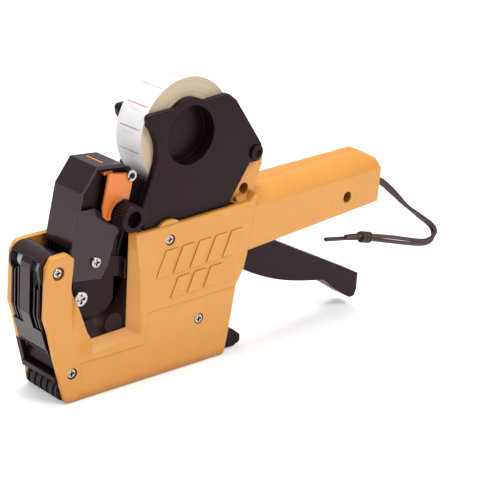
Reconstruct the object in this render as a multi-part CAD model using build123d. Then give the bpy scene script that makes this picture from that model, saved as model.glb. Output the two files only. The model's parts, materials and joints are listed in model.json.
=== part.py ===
from build123d import *
import math
import os

# Hand-held price labelling gun: casing halves, squeeze lever, print head, ink cover, label roll and strap.
# Frame: +X to the rear (handle), +Z up, the knob is on the -Y side. The origin is the centre of the flat base,
# on the middle plane where the two casing halves meet. All sizes are in millimetres.

# ---- driving dimensions ----
HALF_WIDTH = 16.5            # casing, to each side of the parting plane
WALL = 2.7
INNER = HALF_WIDTH - WALL    # half-width of the hollow casing
LOWER_STEP = 0.5             # the lower part of each side is this much thinner than the upper panel
RIM = 11.8                   # inner edge of the bevelled window rim, from the middle plane
SEAM = 0.05                  # each half stops this far from the parting plane
RUN = 0.05                   # radial running clearance
LABEL_WIDTH = 19.7
STRAP_R = 1.8
WEB_HALF = 0.15              # half the thickness of the label strip
WEB_STEPS = 32               # flat spans along the strip

ROLL_X, ROLL_Z = 23.0, 125.7
ROLL_R = 29.0
CORE_R = 17.4
HUB_R = 16.9
RECESS_R = 15.3
PLATE_OUT = 13.5             # outer face of a roll plate
PLATE_IN = 10.2
PLATE_PIN_X, PLATE_PIN_Z = 68.2, 109.6
PLATE_PIN_R = 2.5

LEVER_X, LEVER_Z = 48.0, 46.0
LEVER_HALF = 7.5
ARM_X, ARM_Z = 43.0, 66.0
PIVOT_R = 2.5
LINK_LOW = (37.0, 46.0)      # pin on the lever nose
LINK_HIGH = (11.0, 62.0)     # cross pin on the print arm
LINK_PIN_R = 1.5
LINK_PLAY = 0.6              # extra room round the print arm's cross pin

SHAFT_X, SHAFT_Z = -17.9, 91.8
SHAFT_R = 2.5
KNOB_R = 7.0
KNOB_Y = (-22.0, -12.6)
BAND_COUNT = 6
BAND_PITCH = 2.35
BAND_WHEEL_R = 7.5
BAND_THICK = 1.2
TYPE_BED_X, TYPE_BED_Z, TYPE_BED_R = -27.0, 42.5, 4.0
HEAD_HALF = 10.6
HEAD_SKIN = 1.2
CARRIAGE = (7.2, 8.4)        # each carriage side plate, from and to, off the middle plane

COVER_AXLE_X, COVER_AXLE_Z = -58.3, 70.7
COVER_AXLE_R = 3.0
COVER_HALF = 12.4
INK_X, INK_Z, INK_R = -53.0, 50.0, 6.5
APPLICATOR_X, APPLICATOR_Z, APPLICATOR_R = -50.0, 5.7, 5.4
FEED_X, FEED_Z, FEED_R = -18.0, 13.6, 9.0
BASE_HINGE_X, BASE_HINGE_Z = -39.0, 4.0
LATCH_X, LATCH_Z = 46.0, 4.5
STRAP_X, STRAP_Z = 160.0, 72.0

CASING_SCREWS = [(-48.5, 15.7), (10.5, 73.7), (33.0, 25.2)]
HANDLE_SCREW = (140.5, 71.5)
PILLAR_HOLE = (64.5, 89.5)
HEAD_SCREW = (-32.1, 69.2)
CARRIAGE_SCREW = (-39.5, 51.0)
INDICATOR_ROD = (-13.3, 110.9)
KNURLS = 26
RATCHET_TEETH = 15
PAWL_X, PAWL_Z = 4.0, 16.5
TOWARDS_NEAR = (0, -1, 0)

# ---- outlines in X and Z ----
BODY_OUTLINE = [(-52, 0), (-55, 10), (-59, 25), (-62.5, 40), (-65, 47.5), (-64.5, 74), (-61.5, 79), (-52.5, 79.5),
                (-48.2, 75.5), (-48.2, 60), (-13, 60), (-13, 80.5), (64, 84.3), (68.5, 88), (64, 55), (62, 47),
                (58, 40), (54, 10), (52, 0)]
WINDOW_OUTER = [(-48.2, 90), (-50.5, 62), (-49.5, 38), (-46.5, 26), (-36.8, 23.5), (-6, 26.5), (-8, 58),
                (-13.2, 90)]
WINDOW_INNER = [(-48.2, 90), (-48.2, 62), (-41, 45), (-36.3, 33), (-34, 29.4), (-12.6, 30.2), (-12.8, 58),
                (-13, 90)]
PILLAR_OUTLINE = [(54, 78), (60, 101), (63, 111), (67, 116), (72, 115.5), (76, 110), (76.5, 101), (72.5, 92),
                  (74, 70)]
HANDLE_SIDE = [(58, 56.5), (69, 57), (128, 61.5), (166.6, 64.4), (167.0, 84), (164.5, 89.5), (157, 93.8),
               (120, 91.2), (72, 87.2), (58, 86)]
CARRIAGE_OUTLINE = [(-43.6, 42), (-43.6, 76), (-39.4, 101), (-35, 111), (-32, 114.4), (-12, 114.2), (-9.9, 112.5),
                    (-9.9, 107), (-12.6, 84), (-16.5, 79), (-18.6, 64), (-18.6, 46), (-24, 38.6), (-40.5, 39.6)]
STRAP_PATH = [(STRAP_X + 2.2, 0, STRAP_Z), (171, -0.4, 72.9), (180.9, -1.0, 70.0), (191.7, -2.0, 61.9),
              (203.3, -3.5, 51.8), (214.8, -5.3, 43.2), (222.6, -7.2, 37.4), (225.2, -8.6, 33.2), (223, -10.0, 29.6),
              (216.5, -11.2, 28.6), (204.5, -12.3, 31.2), (178.7, -13.5, 38.7), (150.7, -14.2, 46.0),
              (127.0, -14.6, 49.6)]
PLATE_TOP = [(-4.0, 133.6), (-5.6, 139.4), (12.2, 140.8), (14.2, 142.4)]
PLATE_CROWN = [(14.2, 142.4), (21.5, 145.1), (30.5, 142.0)]
PLATE_REAR = [(30.5, 142.0), (46.7, 143.8), (52.1, 139.9), (71.8, 113.6), (72.8, 104.6), (64.9, 104.5), (50, 82),
              (-3.6, 80.2), (-6.6, 86.0), (-7.4, 91.0)]
PLATE_FRONT = [(-7.4, 91.0), (-4.7, 97.2), (-1.3, 106.2), (1.3, 114.0), (1.7, 121.2), (0.0, 127.3), (-4.0, 133.6)]
PLATE_CORNERS = [((-5.6, 139.4), 2.2), ((46.7, 143.8), 2.0), ((52.1, 139.9), 3.0), ((71.8, 113.6), 3.0),
                 ((72.8, 104.6), 3.0), ((-6.6, 86.0), 1.5)]
LEVER_UNDERSIDE = [(70.3, 41.6), (85, 34.4), (97.3, 29.6), (109.7, 26.0), (122.4, 23.2), (134.2, 21.0)]
LEVER_END = [(134.2, 21.0), (138.2, 18.3), (142.3, 14.6), (157.5, 4.8), (161.2, 5.2), (162.6, 9), (162.6, 19.2),
             (92.4, 53.8), (76, 57), (60, 54), (52, 40), (70.3, 41.6)]
COVER_FRONT = [(-67.0, 71), (-67.0, 48), (-64.4, 40.5), (-60.8, 29.5)]
FIN_SPACING = [(-10.9, 63.5), (-8.0, 63.5), (5.0, 70.0), (8.0, 68.0)]   # each fin's Y and the height of its top


# ---- helpers ----
def spread(sketch, y_low, y_high):
    """A flat sketch in X and Z, filled between two Y values."""
    return extrude(Plane.XZ.offset(-y_high) * sketch, y_high - y_low, dir=TOWARDS_NEAR)


def slab(points, y_low, y_high, corner=0.0):
    """A closed outline in X and Z, with optional rounded corners, filled between two Y values."""
    outline = Polygon(*points, align=None)
    if corner:
        outline = fillet(outline.vertices(), corner)
    return spread(outline, y_low, y_high)


def rod(x, z, radius, y_low, y_high):
    """A round bar along Y."""
    disc = Plane.XZ.offset(-y_high) * Pos(x, z) * Circle(radius)
    return extrude(disc, y_high - y_low)


def tube(x, z, outer, inner, y_low, y_high):
    return rod(x, z, outer, y_low, y_high) - rod(x, z, inner, y_low - 1, y_high + 1)


def block(x_range, y_range, z_range):
    size = [b - a for a, b in (x_range, y_range, z_range)]
    middle = [(a + b) / 2 for a, b in (x_range, y_range, z_range)]
    return Pos(*middle) * Box(*size)


def both_sides(shape):
    """The shape and its mirror image across the middle plane."""
    return shape + mirror(shape, about=Plane.XZ)


def soften(shape, radius, picks):
    """Rounds the picked edges, one at a time, and leaves any that can't be rounded."""
    for edge_middle in [edge @ 0.5 for edge in picks]:
        edge = shape.edges().sort_by_distance(edge_middle)[0]
        try:
            rounded = shape.fillet(radius, [edge])
        except ValueError:
            continue
        if rounded.is_valid:
            shape = rounded
    return shape


def cross_recess_screw(x, z, head_r, shank_r, face_y, head_depth, shank_y):
    """A pan-head screw on the near side with a cross recess, its shank running to shank_y."""
    head = rod(x, z, head_r, face_y, face_y + head_depth)
    rim_edges = head.edges().filter_by(GeomType.CIRCLE).group_by(Axis.Y)[0]
    head = fillet(rim_edges, head_depth * 0.45)
    arm = head_r * 0.62
    slot = head_r * 0.19
    recess_y = (face_y - 1, face_y + head_depth * 0.7)
    head -= block((x - arm, x + arm), recess_y, (z - slot, z + slot))
    head -= block((x - slot, x + slot), recess_y, (z - arm, z + arm))
    return head + rod(x, z, shank_r, face_y + head_depth, shank_y)


# ---- casing ----


def handle_section(x, half, low, crease, top):
    """One cross-section of the grip: flat sides and a round crown."""
    sides = Polyline((-half, crease), (-half, low), (half, low), (half, crease))
    crown = ThreePointArc((half, crease), (0, top), (-half, crease))
    return Plane(origin=(x, 0, 0), x_dir=(0, 1, 0), z_dir=(1, 0, 0)) * make_face(sides + crown)


def handle_solid(inset=0.0):
    """The grip's outside; with an inset it is the space inside the grip."""
    root = handle_section(56, 16.2 - inset, 50, 80.0, 89.5 - inset)
    end = handle_section(170, 13.0 - inset, 50, 83.8, 94.6 - inset)
    side = Polygon(*HANDLE_SIDE, align=None)
    if inset:
        side = offset(side, -inset)
    return loft([root, end]) & extrude(Plane.XZ.offset(-20) * side, 40, dir=TOWARDS_NEAR)


def window_cutters():
    """The bevelled opening in the near (-Y) side: its bevel, its inner part and the space outside."""
    outer = Plane.XZ.offset(HALF_WIDTH + 0.01) * Polygon(*WINDOW_OUTER, align=None)
    inner = Plane.XZ.offset(RIM) * Polygon(*WINDOW_INNER, align=None)
    bevel = loft([outer, inner], ruled=True)
    return [bevel, slab(WINDOW_INNER, -RIM - 0.01, 1), slab(WINDOW_OUTER, -HALF_WIDTH - 5, -HALF_WIDTH)]


def window_rim():
    """The flange that turns inwards behind the bevel, for the near side."""
    inner = Polygon(*WINDOW_INNER, align=None)
    band = offset(inner, 2.6, kind=Kind.INTERSECTION)
    rim = extrude(Plane.XZ.offset(RIM) * band, INNER - RIM + 0.2, dir=TOWARDS_NEAR)
    keep = block((-45.5, -8), (-HALF_WIDTH, 0), (24, 79))
    return rim & keep


def throat_cutter():
    """The gap between the front arms, wider at the foot."""
    profile = Polygon((-12.8, 95), (-12.8, 47), (-14.1, 12), (-14.1, -5), (14.1, -5), (14.1, 12), (12.8, 47),
                      (12.8, 95), align=None)
    return extrude(Plane.YZ.offset(-75) * profile, 30, dir=(1, 0, 0))


def casing_blank():
    """Both halves in one piece, hollow, with its openings and bosses."""
    blank = slab(BODY_OUTLINE, -HALF_WIDTH, HALF_WIDTH)
    upright = blank.edges().filter_by(Axis.Y)
    blank = soften(blank, 2.5, [e for e in upright if (e @ 0.5).Z < 5 or (e @ 0.5).X < -47])
    rims = blank.edges().filter_by(lambda e: abs(abs((e @ 0.5).Y) - HALF_WIDTH) < 0.01)
    blank = fillet([e for e in rims if (e @ 0.5).X < -46 or (e @ 0.5).Z > 79], 0.8)
    lower_skin = block((-44, 70), (HALF_WIDTH - LOWER_STEP, 20), (-5, 38.5))
    blank -= both_sides(lower_skin & slab([(-44, -5), (-44, 20), (-4, 20), (-2, 37), (70, 38.5), (70, -5)], 0, 20))
    blank += slab(PILLAR_OUTLINE, -9.9, 9.9, 2.0)
    blank += handle_solid()
    blank -= handle_solid(WALL)
    cavity = slab([(-45.2, -5), (-45.2, 27), (-9, 27), (-9, 95), (52, 95), (57, 79), (61, 56), (58, 42), (53, 12),
                   (49, -5)], -INNER, INNER)
    blank -= cavity
    blank -= block((-45.2, -5), (-RIM, RIM), (20, 90))
    blank += both_sides(window_rim())
    blank -= throat_cutter()
    blank -= block((50, 62), (-12.6, 12.6), (-5, 13.5))
    blank -= block((54, 158), (-8.6, 8.6), (36.5, 66.5))
    blank -= block((150, 175), (-3.2, 3.2), (64.5, 80.5))
    return blank


def bosses():
    """Screw posts and bearing bosses inside the casing."""
    posts = Part()
    for x, z in CASING_SCREWS:
        posts += rod(x, z, 3.6, -HALF_WIDTH + 1, HALF_WIDTH - 1)
    posts += rod(HANDLE_SCREW[0], HANDLE_SCREW[1], 5.0, -13.4, 13.4)
    for x, z in ((LEVER_X, LEVER_Z), (ARM_X, ARM_Z)):
        posts += both_sides(rod(x, z, 5.0, 11.9, INNER + 0.5))
    posts += both_sides(rod(FEED_X, FEED_Z, 4.0, 12.4, INNER + 0.5))
    posts += both_sides(rod(10.5, 73.7, 10.6, INNER, 15.6))
    return posts


def bores():
    """Holes for pins, axles and screws that both halves share."""
    cut = Part()
    for x, z in ((LEVER_X, LEVER_Z), (ARM_X, ARM_Z)):
        cut += rod(x, z, PIVOT_R + 0.02, -INNER, INNER)
    cut += rod(FEED_X, FEED_Z, 2.02, -INNER, INNER)
    cut += rod(APPLICATOR_X, APPLICATOR_Z, 1.52, -15.2, 15.2)
    cut += rod(BASE_HINGE_X, BASE_HINGE_Z, 1.52, -15.2, 15.2)
    cut += rod(PLATE_PIN_X, PLATE_PIN_Z, PLATE_PIN_R + 0.02, -20, 20)
    cut += rod(STRAP_X, STRAP_Z, 1.52, -11.5, 11.5)
    for x, z in CASING_SCREWS:
        cut += rod(x, z, 1.45, -20, 9)
        cut += rod(x, z, 2.95, -20, -14.7)
    cut += rod(COVER_AXLE_X, COVER_AXLE_Z, 1.45, -20, 15.2)
    cut += rod(COVER_AXLE_X, COVER_AXLE_Z, 3.4, -20, -14.6)
    cut += rod(*HANDLE_SCREW, 1.45, -20, 9)
    cut += rod(*HANDLE_SCREW, 3.2, -20, -6.0)
    cut += rod(*PILLAR_HOLE, 3.0, -20, -5.0)
    return cut


def relief_panels():
    """Plain slanted bars raised on each side, in two rows."""
    bars = Part()
    for row_x, row_z, count, height in ((2.0, 54.5, 5, 14.0), (12.0, 41.5, 3, 11.0)):
        for index in range(count):
            x = row_x + index * 11.0
            lean = height * 0.42
            z = row_z + index * 0.5
            bar = [(x, z), (x + 8.2, z + 0.35), (x + 8.2 + lean, z + height + 0.35), (x + lean, z + height)]
            bars += slab(bar, -HALF_WIDTH - 0.5, -HALF_WIDTH + 0.3, 0.7)
    return both_sides(bars)


def casing_halves():
    whole = casing_blank() + bosses() + relief_panels()
    whole -= bores()
    near_half = whole & block((-80, 180), (-25, -SEAM), (-10, 130))
    far_half = whole & block((-80, 180), (SEAM, 25), (-10, 130))
    for cutter in window_cutters():
        near_half -= cutter
        far_half -= mirror(cutter, about=Plane.XZ)
    top_bar = slab([(-56.2, 70), (-56.2, 79.2), (-11, 80.6), (-11, 70)], 12.9, HALF_WIDTH)
    far_half += fillet(top_bar.edges().filter_by(Axis.X, 3).group_by(Axis.Z)[-1], 0.8)
    far_half -= slab([(-70, 27), (-56.2, 27), (-54.6, 20), (-53.4, 14), (-53.2, -2), (-70, -2)], 12.5, 20)
    return near_half, far_half


def casing_screws():
    screws = [cross_recess_screw(x, z, 2.6, 1.4, -15.9, 1.2, 8.8) for x, z in CASING_SCREWS]
    screws.append(cross_recess_screw(*HANDLE_SCREW, 2.9, 1.4, -7.6, 1.5, 8.8))
    return Compound(children=[s.solid() for s in screws])


# ---- lever and its linkage ----
def lever():
    side = make_face(Spline(*LEVER_UNDERSIDE) + Polyline(*LEVER_END))
    body = spread(side, -LEVER_HALF, LEVER_HALF)
    body = soften(body, 1.2, [e for e in body.edges().filter_by(Axis.Y) if (e @ 0.5).X > 155])
    rims = [e for e in body.edges() if abs(abs((e @ 0.5).Y) - LEVER_HALF) < 0.01 and (e @ 0.5).X > 66]
    body = soften(body, 0.8, rims)
    body += rod(LEVER_X, LEVER_Z, 7.0, -LEVER_HALF, LEVER_HALF)
    nose_x = LINK_LOW[0]
    body += slab([(50, 52), (nose_x, 49.8), (nose_x - 3.6, 46), (nose_x, 42.2), (50, 40.2)], -6.0, 6.0, 1.4)
    body -= block((nose_x - 6, nose_x + 4.6), (-2.3, 2.3), (30, 60))
    body -= rod(LEVER_X, LEVER_Z, 8.0, -3.6, 3.6)
    body -= rod(LEVER_X, LEVER_Z, PIVOT_R + RUN, -20, 20)
    return body - rod(*LINK_LOW, LINK_PIN_R, -20, 20)


def lever_spring():
    """Torsion spring coiled round the lever pin."""
    coil = Helix(pitch=1.35, height=5.4, radius=4.3, center=(0, 0, -2.7))
    wire = Plane(origin=coil @ 0, z_dir=coil % 0) * Circle(0.55)
    spring = sweep(wire, path=coil)
    return Pos(LEVER_X, 0, LEVER_Z) * Rot(90, 0, 0) * spring


def drive_link():
    angle = math.degrees(math.atan2(LINK_HIGH[1] - LINK_LOW[1], LINK_HIGH[0] - LINK_LOW[0]))
    length = math.dist(LINK_LOW, LINK_HIGH)
    bar = Pos(length / 2, 0, 0) * Box(length, 4.0, 4.6)
    bar = Pos(LINK_LOW[0], 0, LINK_LOW[1]) * Rot(0, -angle, 0) * bar
    link = bar + rod(*LINK_LOW, 3.4, -2.0, 2.0) + rod(*LINK_HIGH, 4.2, -2.0, 2.0)
    link -= rod(*LINK_LOW, LINK_PIN_R + RUN, -5, 5)
    link -= rod(*LINK_HIGH, LINK_PIN_R + LINK_PLAY, -5, 5)
    return link


def print_arm():
    """Two side plates from the pivot hub forward, stepping inwards to carry the type carriage."""
    rear = slab([(-13, 57), (-13, 67), (30, 67), (40, 70), (46, 62), (36, 58)], 10.3, 11.3)
    hub = rod(ARM_X, ARM_Z, 6.5, 10.3, 11.3)
    step = slab([(-14.5, 57), (-14.5, 67), (-11.5, 67), (-11.5, 57)], 8.5, 11.3)
    tongue = slab([(-37, 64), (-37, 75), (-12, 67), (-12, 57), (-26, 60)], 8.5, 9.3)
    arm = both_sides(rear + hub + step + tongue)
    arm += rod(ARM_X, ARM_Z, 5.0, -10.5, 10.5)
    arm -= rod(ARM_X, ARM_Z, PIVOT_R + RUN, -20, 20)
    arm -= rod(*LINK_HIGH, LINK_PIN_R, -20, 20)
    arm -= rod(*HEAD_SCREW, 1.42, -20, 20)
    return arm


# ---- print head ----


def head_housing():
    front = slab([(-46.8, 78.3), (-41.7, 106), (-33, 118), (-17, 117), (-15.6, 115.2), (-32.2, 116.2), (-40.1, 105.4),
                  (-45.2, 78.3)], -HEAD_HALF, HEAD_HALF)
    near_plate = [(-46.8, 78.3), (-45, 61.5), (-28, 59.5), (-24, 66), (-20, 80), (-18, 82.5), (-22, 88), (-33, 97),
                  (-43.4, 97.2)]
    far_plate = [(-46.8, 78.3), (-45, 61.5), (-28, 59.5), (-24, 66), (-20, 80), (-15.6, 84), (-13.2, 104),
                 (-15.6, 115.2), (-17, 117), (-33, 118), (-41.7, 106)]
    skin = HEAD_HALF - HEAD_SKIN
    housing = front + slab(near_plate, -HEAD_HALF, -skin) + slab(far_plate, skin, HEAD_HALF)
    housing -= block((-26.4, -24.2), (-5.5, 8.0), (110, 120))
    housing -= rod(*HEAD_SCREW, 1.42, -20, 20)
    return housing


def scale_strip():
    """Coloured strip set into the slot on top of the head."""
    return slab([(-26.37, 115.6), (-26.37, 117.35), (-24.23, 117.22), (-24.23, 115.6)], -5.47, 7.97)


def type_carriage():
    plate = slab(CARRIAGE_OUTLINE, *CARRIAGE, 1.5)
    screw_boss = rod(*CARRIAGE_SCREW, 5.2, 8.0, 9.0) & slab(CARRIAGE_OUTLINE, 0, 20)
    carriage = both_sides(plate + screw_boss)
    for x, z in ((-40.3, 66.0), (-35.5, 104.0), (-12.9, 104.2)):
        carriage += rod(x, z, 2.0, -CARRIAGE[0], CARRIAGE[0])
    carriage -= block((-29.2, -22.2), (-20, 20), (112.0, 120))
    carriage -= rod(SHAFT_X, SHAFT_Z, SHAFT_R + RUN, -20, 20)
    carriage -= rod(*INDICATOR_ROD, 1.25, -20, 20)
    carriage -= rod(*HEAD_SCREW, 1.42, -20, 20)
    carriage -= both_sides(rod(*CARRIAGE_SCREW, 2.02, 6, 20))
    return carriage


def type_bed():
    bed = rod(TYPE_BED_X, TYPE_BED_Z, TYPE_BED_R, -CARRIAGE[0], CARRIAGE[0])
    return bed


def band_positions():
    return [(index - (BAND_COUNT - 1) / 2) * BAND_PITCH for index in range(BAND_COUNT)]


def type_bands():
    """Number bands: flat loops over the wheels and round the type bed."""
    def loop(wheel_r, bed_r):
        circles = [Pos(SHAFT_X, SHAFT_Z) * Circle(wheel_r), Pos(TYPE_BED_X, TYPE_BED_Z) * Circle(bed_r)]
        return make_hull(circles[0].edges() + circles[1].edges())
    inner = loop(BAND_WHEEL_R + 0.1, TYPE_BED_R + 0.1)
    outer = loop(BAND_WHEEL_R + 0.1 + BAND_THICK, TYPE_BED_R + 0.1 + BAND_THICK)
    ring = extrude(Plane.XZ * (outer - inner), 1.9, dir=TOWARDS_NEAR)
    return Compound(children=[(Pos(0, y + 0.95, 0) * ring).solid() for y in band_positions()])


def band_wheel(y):
    wheel = rod(SHAFT_X, SHAFT_Z, BAND_WHEEL_R, y - 1.0, y + 1.0)
    return wheel - rod(SHAFT_X, SHAFT_Z, SHAFT_R + RUN, y - 2, y + 2)


def idle_band_wheels():
    return Compound(children=[band_wheel(y).solid() for y in band_positions()[:-1]])


def driven_band_wheel():
    return band_wheel(band_positions()[-1])


def head_screws():
    """Small screws that hold housing, arm and carriage together, and the large carriage screws below."""
    small = cross_recess_screw(*HEAD_SCREW, 2.8, 1.4, -12.0, 1.4, -7.3)
    large = cross_recess_screw(*CARRIAGE_SCREW, 4.0, 2.0, -10.2, 1.2, -7.3)
    near = [small, large]
    far = [mirror(screw, about=Plane.XZ) for screw in near]
    return Compound(children=[screw.solid() for screw in near + far])


def selector_shaft():
    return rod(SHAFT_X, SHAFT_Z, SHAFT_R, KNOB_Y[0] + 4.5, 9.0)


def selector_knob():
    """Knurled knob with an open socket in its outer face."""
    knob = rod(SHAFT_X, SHAFT_Z, KNOB_R, *KNOB_Y)
    knob = chamfer(knob.edges().filter_by(GeomType.CIRCLE), 0.5)
    for index in range(KNURLS):
        angle = math.tau * index / KNURLS
        groove_x = SHAFT_X + KNOB_R * math.cos(angle)
        groove_z = SHAFT_Z + KNOB_R * math.sin(angle)
        knob -= rod(groove_x, groove_z, 0.52, KNOB_Y[0] + 0.8, KNOB_Y[1] + 1)
    knob -= rod(SHAFT_X, SHAFT_Z, 4.3, KNOB_Y[0] - 1, KNOB_Y[0] + 4.5)
    return knob - rod(SHAFT_X, SHAFT_Z, SHAFT_R, KNOB_Y[0], KNOB_Y[1] + 1)




def indicator():
    """Coloured pointer: a hooked plate beside the head, a top flange, and an arm under the head's roof."""
    face = slab([(-26.6, 113.8), (-11.6, 111.0), (-14.4, 97.0), (-19, 95), (-24.2, 91.2), (-26.8, 89.8),
                 (-29.2, 92.2), (-29.7, 97.0), (-28.2, 105.0)], -12.4, -11.0, 0.9)
    face -= rod(SHAFT_X, SHAFT_Z, KNOB_R + 0.6, -20, 0)
    lip = tube(SHAFT_X, SHAFT_Z, KNOB_R + 2.0, KNOB_R + 0.6, -13.2, -12.3) & slab(
        [(-29.7, 101), (-19, 101), (-19, 97), (-25, 90.5), (-29.7, 90.5)], -14, -12)
    flange = slab([(-26.6, 113.8), (-11.6, 111.0), (-11.9, 109.9), (-26.5, 112.6)], -12.4, -8.9)
    arm = block((-27.8, -23.0), (-10, 6.6), (112.6, 114.2))
    return face + lip + flange + arm - rod(*INDICATOR_ROD, 1.22, -20, 0)


def indicator_rod():
    return rod(*INDICATOR_ROD, 1.2, -13.2, 8.3)


def rod_clip():
    """Open spring ring on the near end of the pointer's guide rod."""
    ring = tube(*INDICATOR_ROD, 2.7, 1.75, -13.3, -12.5) + tube(*INDICATOR_ROD, 1.85, 1.2, -12.9, -12.5)
    return ring - block((-20, -14.4), (-14, -12), (109.2, 110.4))


# ---- ink unit ----
def ink_cover():
    """Hood over the front axle with a broad middle bar, thin fins each side of it and a lower lip."""
    axle = (COVER_AXLE_X, COVER_AXLE_Z)
    hood = tube(*axle, 8.7, 7.0, -COVER_HALF, COVER_HALF) & block((-80, -53.4), (-20, 20), (75.6, 90))
    lower = [(-64.4, 40.5), (-60.8, 29.5), (-59.0, 30.1), (-62.4, 41.2)]
    bar = slab([(-65.3, 76.6), (-66.7, 73.6)] + COVER_FRONT + [(-59.0, 30.1), (-62.4, 41.2), (-64.9, 48.4),
               (-64.9, 71), (-63.0, 76.6)], -5.4, 2.4)
    apron = slab(lower, -11.6, 11.6)
    lip = slab([(-59.9, 27.4), (-59.1, 27.2), (-58.0, 29.8), (-58.9, 30.2)], -11.6, 11.6)
    struts = slab([(-60.8, 31.0), (-59.9, 27.6), (-59.1, 27.4), (-59.2, 31.0)], 10.6, 11.6)
    backing = slab([(-62.4, 63), (-62.4, 41), (-60.9, 36), (-59.6, 36), (-61.1, 41.5), (-61.1, 63)], -11.6, -5.0)
    backing += slab([(-62.4, 65), (-62.4, 41), (-60.9, 36), (-59.6, 36), (-61.1, 41.5), (-61.1, 65)], 2.0, 11.6)
    sides = slab([(-65.6, 68), (-65.6, 48.5), (-63.2, 41), (-61.2, 36), (-60.2, 36.5), (-62.2, 48), (-62.2, 70)],
                 10.6, 11.6)
    fins = Part()
    for y, top in FIN_SPACING:
        fins += slab([(-66.2, top - 1), (-66.2, 48.2), (-63.9, 41), (-61.6, 34), (-60.8, 35), (-62.0, 41.5),
                      (-62.0, 61), (-63.9, top - 0.5), (-65.4, top)], y - 0.45, y + 0.45)
    cheeks = both_sides(rod(*axle, 8.4, 11.0, COVER_HALF) + struts + sides)
    return cheeks + hood + bar + apron + lip + backing + fins - rod(*axle, COVER_AXLE_R + RUN, -20, 20)




def ink_cover_axle():
    axle = tube(COVER_AXLE_X, COVER_AXLE_Z, COVER_AXLE_R, 1.45, -12.75, 12.75)
    return axle


def axle_screw():
    return cross_recess_screw(COVER_AXLE_X, COVER_AXLE_Z, 2.4, 1.4, -15.9, 1.2, 15.0)


def ink_holder():
    """Cartridge that carries the ink roller under the hood."""
    arm = slab([(-60.2, 66.5), (-56.0, 66.5), (-51.0, 54.5), (-49.8, 47.5), (-53.5, 46.2), (-57.0, 50.5)],
               9.2, 10.4, 1.0)
    arm += rod(COVER_AXLE_X, COVER_AXLE_Z, 5.0, 9.2, 10.4)
    holder = both_sides(arm)
    holder += tube(COVER_AXLE_X, COVER_AXLE_Z, 5.0, 3.5, -10, 10)
    holder += block((-60.0, -56.8), (-9.6, 9.6), (58.2, 67.5))
    holder -= rod(COVER_AXLE_X, COVER_AXLE_Z, COVER_AXLE_R + RUN, -20, 20)
    return holder - rod(INK_X, INK_Z, 1.5, -20, 20)


def ink_axle():
    return rod(INK_X, INK_Z, 1.5, -10.6, 10.6)


def ink_roller():
    return tube(INK_X, INK_Z, INK_R, 1.5 + RUN, -8.8, 8.8)


# ---- label roll and its plates ----


def plate_sketch():
    """The side plate's edge: a crown over the hub, a straight rear and a long hollow front."""
    crown = ThreePointArc(*PLATE_CROWN)
    edge = Polyline(*PLATE_TOP) + crown + Polyline(*PLATE_REAR) + Spline(*PLATE_FRONT)
    face = make_face(edge)
    for (x, z), radius in PLATE_CORNERS:
        corner = face.vertices().sort_by_distance((x, z, 0))[0]
        face = fillet([corner], radius)
    return face


def roll_plate():
    """One side plate with a hub cup for the roll, for the far side."""
    plate = spread(plate_sketch(), PLATE_IN, PLATE_OUT)
    outer_rim = [e for e in plate.edges() if abs((e @ 0.5).Y - PLATE_OUT) < 0.01]
    plate = soften(plate, 0.7, outer_rim)
    plate += rod(ROLL_X, ROLL_Z, HUB_R, 4.5, PLATE_IN + 0.1)
    plate -= rod(ROLL_X, ROLL_Z, RECESS_R, 5.6, 20)
    return plate - rod(PLATE_PIN_X, PLATE_PIN_Z, PLATE_PIN_R + RUN, -20, 20)


def roll_guard():
    """Curved wall that joins the two roll plates in front of the label strip."""
    return slab([(0.0, 104.2), (-2.6, 98), (-5.4, 90.5), (-4.6, 84.5), (-3.2, 84.3), (-4.0, 90.3), (-1.2, 97.6),
                 (1.2, 103.8)], -PLATE_IN + 0.05, PLATE_IN - 0.05)


def roll_plate_pin():
    pin = rod(PLATE_PIN_X, PLATE_PIN_Z, PLATE_PIN_R, -13.6, 13.6)
    head = rod(PLATE_PIN_X, PLATE_PIN_Z, 4.0, 13.6, 15.0)
    head = chamfer(head.edges().filter_by(GeomType.CIRCLE), 0.35)
    return pin + both_sides(head - rod(PLATE_PIN_X, PLATE_PIN_Z, 2.2, 14.0, 16.0))


def label_core():
    return tube(ROLL_X, ROLL_Z, CORE_R + 1.3, CORE_R, -LABEL_WIDTH / 2, LABEL_WIDTH / 2)


def label_roll():
    return tube(ROLL_X, ROLL_Z, ROLL_R, CORE_R + 1.3, -LABEL_WIDTH / 2, LABEL_WIDTH / 2)


def label_web():
    """The strip of labels from under the roll, down inside the casing and forward over the bed."""
    middle = Spline((2.5, 104.9), (4.5, 101.5), (5.6, 96.0), (5.5, 88.0), (5.3, 73.0), (4.4, 60.0), (1.5, 45.0),
                    (-5.0, 33.4), (-11.5, 29.9), (-18.0, 29.3))
    exit_x = -45.8
    upper, lower = [], []
    for step in range(WEB_STEPS + 1):
        point, ahead = middle @ (step / WEB_STEPS), middle % (step / WEB_STEPS)
        sideways = Vector(-ahead.Y, ahead.X) * WEB_HALF
        upper.append((point.X + sideways.X, point.Y + sideways.Y))
        lower.append((point.X - sideways.X, point.Y - sideways.Y))
    upper.append((exit_x, upper[-1][1]))
    lower.append((exit_x, lower[-1][1]))
    return slab(upper + lower[::-1], -LABEL_WIDTH / 2, LABEL_WIDTH / 2)


# ---- label bed, feed and applicator ----
EAR_INNER = 10.3     # the ears stand clear of the carriage screws' heads, which come down between them


def label_bed():
    floor = block((-46.0, -4.0), (-11.2, 11.2), (25.4, 28.9))
    cheeks = block((-42, -5), (10.1, 11.2), (25.4, 29.4))
    for x in (-37.0, -20.0):
        cheeks += rod(x, 34.0, 5.5, EAR_INNER, 11.2)
    lugs = block((-42.0, -36.0), (-13.7, 13.7), (19.5, 26.0))
    return floor + both_sides(cheeks) + lugs


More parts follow.
